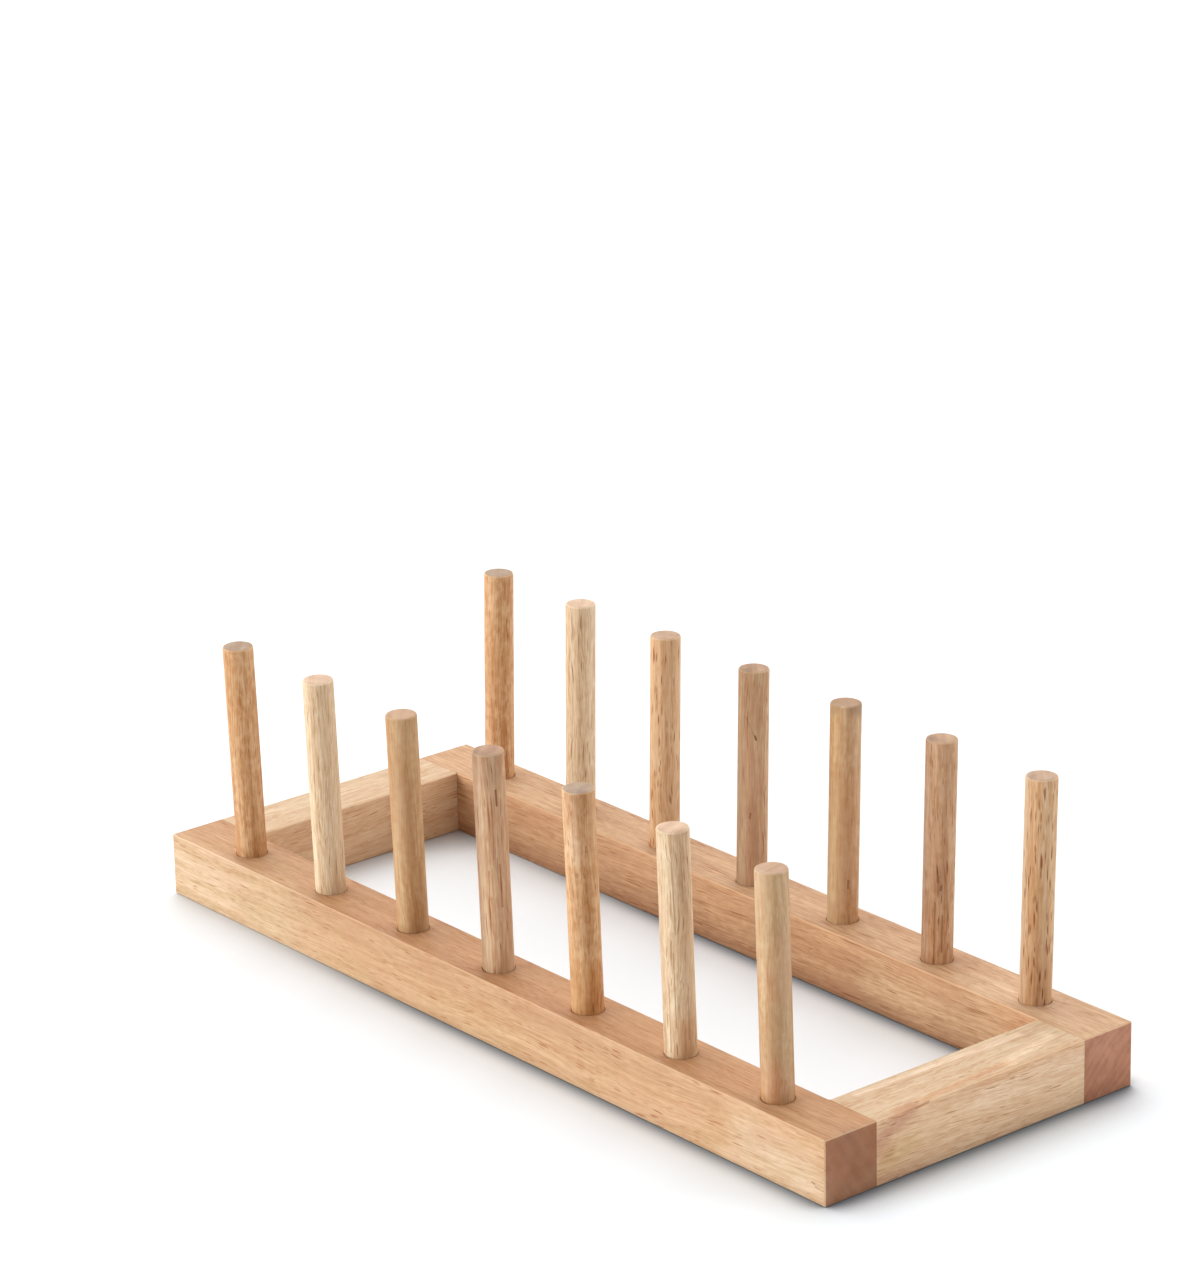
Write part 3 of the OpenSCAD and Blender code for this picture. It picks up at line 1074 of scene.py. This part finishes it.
class RodTree:
    """A geometry node tree that makes round wooden rods, for one piece at a time.

    Each kind of tree sets the faces of its bar: SIDES round it, STEPS along it and CAP_RINGS on each end.
    A point lies on the bar's wall when it is farther out than WALL_FROM, a share of the radius.
    """

    INPUTS = (
        ("Foot", "Vector"), ("Turn", "Vector"), ("Length", "Float"), ("Radius", "Float"), ("Rim", "Float"),
        ("Material", "Material"),
    )
    SIDES: int
    STEPS: int
    CAP_RINGS: int
    WALL_FROM: float

    def __init__(self, name: str, more_inputs: Sequence[tuple[str, str]]) -> None:
        """Starts the tree with its sockets.

        Args:
            name: the tree's name.
            more_inputs: the name and type of each input beyond the common ones.
        """
        self.tree = bpy.data.node_groups.new(name, "GeometryNodeTree")
        face = self.tree.interface
        face.new_socket("Geometry", in_out="OUTPUT", socket_type="NodeSocketGeometry")
        self.identifiers = {
            label: face.new_socket(label, in_out="INPUT", socket_type=f"NodeSocket{kind}").identifier
            for label, kind in (*self.INPUTS, *more_inputs)
        }
        self.wiring = Wiring(self.tree)
        self.given = self.wiring.node("NodeGroupInput").outputs

    def barrel(self) -> bpy.types.NodeSocket:
        """Makes a closed round bar of the tree's length and radius.

        Returns:
            The bar, which stands upright with its middle on the origin.
        """
        made = self.wiring.node("GeometryNodeMeshCylinder", fill_type="TRIANGLE_FAN")
        for name, value in (
            ("Vertices", self.SIDES), ("Side Segments", self.STEPS), ("Fill Segments", self.CAP_RINGS),
            ("Radius", self.given["Radius"]), ("Depth", self.given["Length"]),
        ):
            self.wiring.feed(made.inputs[name], value)
        return made.outputs["Mesh"]

    def on_wall(self, x: Feed, y: Feed) -> bpy.types.NodeSocket:
        """Tells the points on the bar's wall from those on its ends.

        Args:
            x: how far along X the point is from the bar's axis.
            y: how far along Y it is.

        Returns:
            1 for a point on the wall or on the wall's rims, and 0 for any other.
        """
        w = self.wiring
        from_axis = w.math("SQRT", w.math("ADD", w.math("MULTIPLY", x, x), w.math("MULTIPLY", y, y)))
        return w.math("GREATER_THAN", from_axis, w.math("MULTIPLY", self.given["Radius"], self.WALL_FROM))

    def grained(
        self, geometry: bpy.types.NodeSocket, position: bpy.types.NodeSocket, shift: Feed
    ) -> bpy.types.NodeSocket:
        """Moves the points of a bar and marks each with its place in the grain, with the fibres along X.

        Args:
            geometry: the bar.
            position: the new place of each point, with the bar on its foot.
            shift: where the bar's own grain starts, in metres.

        Returns:
            The finished bar.
        """
        w = self.wiring
        shaped = w.node("GeometryNodeSetPosition")
        w.feed(shaped.inputs["Geometry"], geometry)
        w.feed(shaped.inputs["Position"], position)
        x, y, z = w.parts(w.node("GeometryNodeInputPosition").outputs[0])
        marked = w.node("GeometryNodeStoreNamedAttribute", data_type="FLOAT_VECTOR", domain="POINT")
        w.feed(marked.inputs["Geometry"], shaped.outputs[0])
        w.feed(marked.inputs["Name"], GRAIN_ATTRIBUTE)
        w.feed(marked.inputs["Value"], w.vector("ADD", w.joined(z, x, y), shift))
        return marked.outputs[0]

    def finish(self, geometry: bpy.types.NodeSocket) -> None:
        """Ends the tree: instances become real, the faces are shaded smooth and the material is set.

        Args:
            geometry: the shape that the tree has made.
        """
        w = self.wiring
        real = w.node("GeometryNodeRealizeInstances")
        smooth = w.node("GeometryNodeSetShadeSmooth")
        dressed = w.node("GeometryNodeSetMaterial")
        w.feed(real.inputs["Geometry"], geometry)
        w.feed(smooth.inputs["Geometry"], real.outputs[0])
        w.feed(dressed.inputs["Geometry"], smooth.outputs[0])
        w.feed(dressed.inputs["Material"], self.given["Material"])
        w.feed(w.node("NodeGroupOutput").inputs[0], dressed.outputs[0])

    def make(self, name: str, **values: Any) -> bpy.types.Object:
        """Makes one piece with the tree.

        Args:
            name: the piece's name.
            values: a value for each input, under its name in small letters.

        Returns:
            An object at the origin that holds the finished mesh.
        """
        piece = bpy.data.objects.new(name, bpy.data.meshes.new(name))
        bpy.context.scene.collection.objects.link(piece)
        maker = piece.modifiers.new(self.tree.name, "NODES")
        maker.node_group = self.tree
        for key, value in values.items():
            maker[self.identifiers[key.capitalize()]] = value
        settle(piece)
        return piece


class RodLathe(RodTree):
    """Turns a dowel: a straight barrel with rounded rims and a slightly uneven surface."""

    SIDES = 72
    STEPS = 64
    CAP_RINGS = 8
    WALL_FROM = 1.0 - 0.25 / CAP_RINGS
    ROUND_SHARE = 1.0 - math.sqrt(0.5)
    UNEVEN_CELLS = (160.0, 160.0, 45.0)

    def __init__(self) -> None:
        """Builds the tree."""
        super().__init__("turned_rod", (("Uneven", "Float"), ("Shift", "Vector")))
        w, given = self.wiring, self.given
        bar = self.grained(self.barrel(), self._surface(), given["Shift"])
        stood = w.node("GeometryNodeTransform")
        w.feed(stood.inputs["Geometry"], bar)
        w.feed(stood.inputs["Translation"], given["Foot"])
        w.feed(stood.inputs["Rotation"], given["Turn"])
        self.finish(stood.outputs[0])

    def _surface(self) -> bpy.types.NodeSocket:
        """Works out where the points of the dowel go, with the rims rounded and the wall a little uneven.

        Returns:
            The place of each point of the dowel, which stands upright with its foot on the origin.
        """
        w, given = self.wiring, self.given
        x, y, z = w.parts(w.node("GeometryNodeInputPosition").outputs[0])
        length, radius, rim = given["Length"], given["Radius"], given["Rim"]
        share = w.math("ADD", w.math("DIVIDE", z, length), 0.5)
        first = 1.0 / self.STEPS
        between = w.node("ShaderNodeMapRange", interpolation_type="LINEAR", clamp=True)
        below_rim = w.math("SUBTRACT", length, rim)
        for socket, value in zip(between.inputs, (share, first, 1.0 - first, rim, below_rim)):
            w.feed(socket, value)
        on_wall = self.on_wall(x, y)
        at_head = w.math("GREATER_THAN", share, 1.0 - 0.5 * first)
        at_foot = w.math("LESS_THAN", share, 0.5 * first)
        at_end = w.math("ADD", at_head, at_foot)
        at_rim = w.math("MULTIPLY", at_end, on_wall)
        cut = w.math("MULTIPLY", at_rim, w.math("MULTIPLY", rim, self.ROUND_SHARE))

        height = w.math("MULTIPLY", between.outputs[0], w.math("SUBTRACT", 1.0, at_end))
        height = w.math("ADD", height, w.math("MULTIPLY", at_head, w.math("SUBTRACT", length, cut)))
        height = w.math("ADD", height, w.math("MULTIPLY", at_foot, cut))
        shifted = w.vector("ADD", w.joined(x, y, height), given["Shift"])
        bumps = w.noise(w.vector("MULTIPLY", shifted, self.UNEVEN_CELLS), 1.0)
        dip = w.math("MULTIPLY", w.math("MULTIPLY", bumps, given["Uneven"]), on_wall)
        thinner = w.math("SUBTRACT", 1.0, w.math("DIVIDE", w.math("ADD", cut, dip), radius))
        return w.joined(w.math("MULTIPLY", x, thinner), w.math("MULTIPLY", y, thinner), height)


class PinMill(RodTree):
    """Mills the joint pins of one corner, one above the other, with eased ends and glue flutes."""

    SIDES = 128
    STEPS = 24
    CAP_RINGS = 2
    WALL_FROM = 0.9

    def __init__(self) -> None:
        """Builds the tree."""
        super().__init__("fluted_pins", (
            ("Flutes", "Int"), ("Depth", "Float"), ("Count", "Int"), ("Spacing", "Float"),
        ))
        w, given = self.wiring, self.given
        bar = self.grained(self.barrel(), self._surface(), (0.0, 0.0, 0.0))
        line = w.node("GeometryNodeMeshLine", mode="OFFSET")
        w.feed(line.inputs["Count"], given["Count"])
        w.feed(line.inputs["Start Location"], given["Foot"])
        w.feed(line.inputs["Offset"], w.joined(0.0, 0.0, given["Spacing"]))
        placed = w.node("GeometryNodeInstanceOnPoints")
        w.feed(placed.inputs["Points"], line.outputs[0])
        w.feed(placed.inputs["Instance"], bar)
        w.feed(placed.inputs["Rotation"], given["Turn"])
        self.finish(placed.outputs[0])

    def _surface(self) -> bpy.types.NodeSocket:
        """Works out where the points of a pin go, with the ends eased and the flutes cut.

        Returns:
            The place of each point of the pin, which stands upright with its foot on the origin.
        """
        w, given = self.wiring, self.given
        x, y, z = w.parts(w.node("GeometryNodeInputPosition").outputs[0])
        radius, depth = given["Radius"], given["Depth"]
        height = w.math("ADD", z, w.math("MULTIPLY", given["Length"], 0.5))
        on_wall = self.on_wall(x, y)
        to_end = w.math("MINIMUM", height, w.math("SUBTRACT", given["Length"], height))
        eased = w.math("MAXIMUM", w.math("SUBTRACT", given["Rim"], to_end), 0.0)
        half_turn = w.math("DIVIDE", math.pi, given["Flutes"])
        off_flute = w.math("MULTIPLY", w.math("PINGPONG", w.math("ARCTAN2", y, x), half_turn), radius)
        share = w.math("DIVIDE", off_flute, depth)
        left_over = w.math("SUBTRACT", 1.0, w.math("MULTIPLY", share, share))
        groove = w.math("SQRT", w.math("MAXIMUM", left_over, 0.0))
        cut = w.math("MAXIMUM", eased, w.math("MULTIPLY", groove, depth))
        thinner = w.math("SUBTRACT", 1.0, w.math("MULTIPLY", w.math("DIVIDE", cut, radius), on_wall))
        return w.joined(w.math("MULTIPLY", x, thinner), w.math("MULTIPLY", y, thinner), height)


@dataclass
class BoardFrame:
    """The two rails and the two crossbars, glued into one rectangle and sanded together."""

    shop: WoodShop
    nodes: dict[str, bpy.types.Object]
    arris_radius: float = 0.12 * MM
    arris_steps: int = 2
    arris_from_deg: float = 25.0
    merge_reach: float = 0.001 * MM
    flat_within_deg: float = 0.05
    finishes: dict[str, WoodFinish] = field(default_factory=lambda: {
        "front_rail": FRONT_RAIL_WOOD, "rear_rail": REAR_RAIL_WOOD,
        "left_crossbar": CROSSBAR_WOOD, "right_crossbar": CROSSBAR_WOOD,
    })
    lays: dict[str, GrainLay] = field(default_factory=lambda: {
        "front_rail": GrainLay(Grain.ALONG_X, 1.0, 0.0, (40.0, 12.0, 7.0), (70.0, 95.0)),
        "rear_rail": GrainLay(Grain.ALONG_X, 1.2, 0.0, (410.0, -30.0, 25.0), (82.0, -38.0)),
        "left_crossbar": GrainLay(Grain.ALONG_Y, 1.0, 20.0, (230.0, 55.0, -18.0)),
        "right_crossbar": GrainLay(Grain.ALONG_Y, -1.7, 0.0, (120.0, 5.0, 31.0)),
    })

    def build(self) -> dict[str, bpy.types.Object]:
        """Makes the four boards and dresses them.

        Returns:
            Each new piece, under the name of the node that it stands for.
        """
        return {name: self.dress(name, self.shape(name)) for name in self.lays}

    def shape(self, name: str) -> bpy.types.Object:
        """Makes one board from its node, with the crisp edges of its flats rounded over.

        Args:
            name: the node that the board stands for.

        Returns:
            The board as a plain mesh.
        """
        mesh = self.nodes[name].data.copy()
        work = bmesh.new()
        work.from_mesh(mesh)
        bmesh.ops.remove_doubles(work, verts=work.verts, dist=self.merge_reach)
        flat = math.radians(self.flat_within_deg)
        bmesh.ops.dissolve_limit(work, angle_limit=flat, verts=work.verts, edges=work.edges)
        work.to_mesh(mesh)
        work.free()
        board = bpy.data.objects.new(f"{name}_board", mesh)
        bpy.context.scene.collection.objects.link(board)
        bevel = board.modifiers.new("arris", "BEVEL")
        bevel.width = self.arris_radius
        bevel.segments = self.arris_steps
        bevel.limit_method = "ANGLE"
        bevel.angle_limit = math.radians(self.arris_from_deg)
        settle(board)
        return board

    def dress(self, name: str, board: bpy.types.Object) -> bpy.types.Object:
        """Gives one board its wood.

        Args:
            name: the node that the board stands for.
            board: the board's piece.

        Returns:
            The same piece.
        """
        marks = BOARD_MARKS.get(name, ())
        wood = self.shop.board(f"{name}_wood", self.finishes[name], self.lays[name], marks)
        board.data.materials.clear()
        board.data.materials.append(wood)
        return board


@dataclass
class DowelRow:
    """One row of dowels, each turned on the axis that its node gives."""

    shop: WoodShop
    lathe: RodLathe
    nodes: dict[str, bpy.types.Object]
    slots: dict[str, str]
    side: Side
    rail_top: float
    rim: float = 0.6 * MM
    uneven: float = 0.08 * MM
    shift_step: Place = (173.0 * MM, 31.0 * MM, 47.0 * MM)

    def build(self) -> dict[str, bpy.types.Object]:
        """Turns the dowels of the row.

        Returns:
            Each new piece, under the name of the node that it stands for.
        """
        names = sorted(name for name in self.nodes if name.startswith(f"{self.side.value}_dowel_"))
        first = 1 if self.side is Side.FRONT else len(names) + 1
        return {name: self.turn(name, number) for number, name in enumerate(names, first)}

    def turn(self, name: str, number: int) -> bpy.types.Object:
        """Turns one dowel.

        Args:
            name: the node that the dowel stands for.
            number: the dowel's number in the rack, which picks its own bit of grain.

        Returns:
            The dowel as a plain mesh.
        """
        rod = RodAxis.of_points(node_points(self.nodes[name]))
        lean = Vector(Grain.ALONG_Z.value).rotation_difference(rod.direction).to_euler()
        shift = Vector(self.shift_step) * number
        socket = (self.rail_top - rod.foot.z) / rod.direction.z
        flecks = [
            fleck.on_rod(rod.radius / MM, socket / MM, shift / MM) for fleck in DOWEL_FLECKS.get(name, ())
        ]
        wood = self.shop.rod(f"{name}_wood", DOWEL_WOODS[self.slots[name]], flecks)
        return self.lathe.make(
            f"{name}_rod", foot=rod.foot[:], turn=lean[:], length=rod.length, radius=rod.radius,
            rim=self.rim, uneven=self.uneven, shift=shift[:], material=wood,
        )


@dataclass
class CornerPins:
    """The joint pins of the four corners, hidden in the rails and crossbars."""

    shop: WoodShop
    mill: PinMill
    rim: float = 0.8 * MM
    flutes: int = 8
    flute_depth: float = 0.3 * MM
    count: int = 2

    def build(self) -> dict[str, bpy.types.Object]:
        """Makes the pins of each corner.

        Returns:
            Each new piece, under the name of the node that it stands for.
        """
        wood = self.shop.rod("pin_wood", PIN_WOOD)
        names = [f"{end.value}_{side.value}_joint_pins" for end in End for side in Side]
        return {name: self.corner(name, wood) for name in names}

    def corner(self, name: str, wood: bpy.types.Material) -> bpy.types.Object:
        """Makes the pins of one corner.

        Args:
            name: the node that the pins stand for.
            wood: the wood of the pins.

        Returns:
            The corner's pins as one plain mesh.
        """
        low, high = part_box(name)
        radius = (high.x - low.x) / 2.0
        foot = (low.x + radius, low.y, low.z + radius)
        return self.mill.make(
            f"{name}_milled", foot=foot, turn=(-math.pi / 2.0, 0.0, 0.0), length=high.y - low.y,
            radius=radius, rim=self.rim, flutes=self.flutes, depth=self.flute_depth, count=self.count,
            spacing=high.z - low.z - 2.0 * radius, material=wood,
        )


def aim(bearing_deg: float, height_deg: float) -> Vector:
    """Works out a direction in the studio.

    Args:
        bearing_deg: its bearing on the floor, from +X towards +Y.
        height_deg: how far it rises above the floor.

    Returns:
        A vector of length 1 in that direction.
    """
    bearing, height = math.radians(bearing_deg), math.radians(height_deg)
    level = math.cos(height)
    return Vector((level * math.cos(bearing), level * math.sin(bearing), math.sin(height)))


@dataclass(frozen=True)
class SoftSun:
    """A distant soft light. Its bearing runs from +X towards +Y, and its height is above the floor."""

    name: str
    bearing_deg: float
    height_deg: float
    strength: float
    spread_deg: float

    def hang(self) -> None:
        """Adds the light to the scene."""
        lamp = bpy.data.lights.new(self.name, "SUN")
        lamp.energy = self.strength
        lamp.angle = math.radians(self.spread_deg)
        towards = aim(self.bearing_deg, self.height_deg)
        sun = bpy.data.objects.new(self.name, lamp)
        sun.location = towards
        sun.rotation_euler = towards.to_track_quat("Z", "Y").to_euler()
        bpy.context.scene.collection.objects.link(sun)


@dataclass
class Studio:
    """White floor, soft lights and the camera of the product shot.

    The floor's colour has painted shadow: it is darker close to the rack, where the line of contact fades
    towards the rack's left end, and once more in the lee of the rack, on the side away from the main light.
    """

    floor_size: float = 12.0
    floor_roughness: float = 0.9
    floor_tone: Colour = (0.815, 0.84, 0.86)
    contact_tone: Colour = (0.235, 0.275, 0.315)
    contact_reach: float = 9.0 * MM
    contact_rays: int = 16
    contact_span: tuple[float, float] = (0.4, 1.0)
    contact_least: float = 0.1
    contact_rise: tuple[float, float] = (-130.0 * MM, -10.0 * MM)
    painted_lee_shadow: Colour = (0.7, 0.7, 0.71)
    lee_reach: float = 20.0 * MM
    lee_rays: int = 6
    lee_bearing_deg: float = 165.0
    lee_height_deg: float = 30.0
    lee_span: tuple[float, float] = (0.33, 0.62)
    sky_strength: float = 0.2
    suns: Sequence[SoftSun] = (
        SoftSun("overhead_light", 147.0, 55.0, 3.8, 90.0),
        SoftSun("front_light", 248.0, 7.0, 3.5, 35.0),
        SoftSun("end_light", 45.0, 12.0, 1.4, 35.0),
    )
    camera_place: Place = (1.1044, -0.9177, 0.6223)
    camera_heading_deg: float = 140.548
    camera_dip_deg: float = 19.39
    camera_roll_deg: float = -1.216
    lens_mm: float = 140.0
    sensor_mm: float = 36.0
    clip: tuple[float, float] = (0.05, 50.0)

    def build(self) -> None:
        """Sets up the floor, the lights and the camera."""
        self.floor()
        self.light()
        self.camera()
        bpy.context.scene.view_settings.view_transform = "Standard"

    def floor(self) -> None:
        """Lays the floor under the rack and paints shadow into its colour close to the wood."""
        half = self.floor_size / 2.0
        mesh = bpy.data.meshes.new("studio_floor")
        corners = [(-half, -half, 0.0), (half, -half, 0.0), (half, half, 0.0), (-half, half, 0.0)]
        mesh.from_pydata(corners, [], [(0, 1, 2, 3)])
        material = bpy.data.materials.new("studio_white")
        material.use_nodes = True
        w = Wiring(material.node_tree)
        shader = w.tree.nodes["Principled BSDF"]
        open_sky = w.node("ShaderNodeAmbientOcclusion", samples=self.contact_rays)
        w.feed(open_sky.inputs["Distance"], self.contact_reach)
        closeness = w.ramp(open_sky.outputs["AO"], *self.contact_span, 1.0, 0.0)
        along_rack = w.parts(w.node("ShaderNodeTexCoord").outputs["Object"])[0]
        strength = w.ramp(along_rack, *self.contact_rise, self.contact_least, 1.0)
        # Painted shadow on the floor's colour where the rack is close
        tone = w.mixed(w.math("MULTIPLY", closeness, strength), self.floor_tone, self.contact_tone)
        lee = w.node("ShaderNodeAmbientOcclusion", samples=self.lee_rays)
        w.feed(lee.inputs["Distance"], self.lee_reach)
        w.feed(lee.inputs["Normal"], w.joined(*aim(self.lee_bearing_deg, self.lee_height_deg)))
        in_lee = w.ramp(lee.outputs["AO"], *self.lee_span, 1.0, 0.0)
        # Painted shadow on the floor's colour in the lee of the rack
        w.feed(shader.inputs["Base Color"], w.mixed(in_lee, tone, self.painted_lee_shadow, "MULTIPLY"))
        w.feed(shader.inputs["Roughness"], self.floor_roughness)
        w.feed(shader.inputs["Specular IOR Level"], 0.0)
        mesh.materials.append(material)
        floor = bpy.data.objects.new("studio_floor", mesh)
        bpy.context.scene.collection.objects.link(floor)

    def light(self) -> None:
        """Sets an even white surround and hangs the lights."""
        world = bpy.data.worlds.new("studio_surround")
        world.use_nodes = True
        surround = world.node_tree.nodes["Background"]
        surround.inputs["Color"].default_value = (1.0, 1.0, 1.0, 1.0)
        surround.inputs["Strength"].default_value = self.sky_strength
        bpy.context.scene.world = world
        for sun in self.suns:
            sun.hang()

    def camera(self) -> None:
        """Places the camera at the angle of the product shot."""
        heading, dip, roll = (
            math.radians(a) for a in (self.camera_heading_deg, self.camera_dip_deg, self.camera_roll_deg)
        )
        level = Vector((math.cos(heading), math.sin(heading), 0.0))
        forward = math.cos(dip) * level - math.sin(dip) * Vector((0.0, 0.0, 1.0))
        level_right = Vector((math.sin(heading), -math.cos(heading), 0.0))
        level_up = level_right.cross(forward)
        right = math.cos(roll) * level_right + math.sin(roll) * level_up
        up = math.cos(roll) * level_up - math.sin(roll) * level_right
        lens = bpy.data.cameras.new("product_camera")
        lens.lens = self.lens_mm
        lens.sensor_width = self.sensor_mm
        lens.clip_start, lens.clip_end = self.clip
        camera = bpy.data.objects.new("product_camera", lens)
        axes = Matrix((right, up, -forward)).transposed().to_4x4()
        camera.matrix_world = Matrix.Translation(self.camera_place) @ axes
        bpy.context.scene.collection.objects.link(camera)
        bpy.context.scene.camera = camera


def stand_in(made: dict[str, bpy.types.Object], slots: dict[str, str]) -> None:
    """Puts finished pieces in the place of their nodes.

    Args:
        made: each finished piece, under the name of the node that it stands for.
        slots: the material slot of each node.
    """
    for node, piece in made.items():
        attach(piece, BODY)
        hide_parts(node)
        log.info("%s stands for %s: %d faces in %s", piece.name, node, len(piece.data.polygons), slots[node])


def main() -> None:
    """Loads the rack, makes and dresses its pieces and sets the stage."""
    logging.basicConfig(level=logging.INFO, format="%(name)s: %(message)s")
    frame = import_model()
    nodes = frame["nodes"]
    slots = {row["node"]: row["material_slot"] for row in frame["record"]["subparts"]}

    shop = WoodShop()
    stand_in(BoardFrame(shop, nodes).build(), slots)
    lathe = RodLathe()
    for side in Side:
        rail_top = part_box(f"{side.value}_rail")[1].z
        stand_in(DowelRow(shop, lathe, nodes, slots, side, rail_top).build(), slots)
    stand_in(CornerPins(shop, PinMill()).build(), slots)

    Studio().build()


if __name__ == "__main__":
    main()
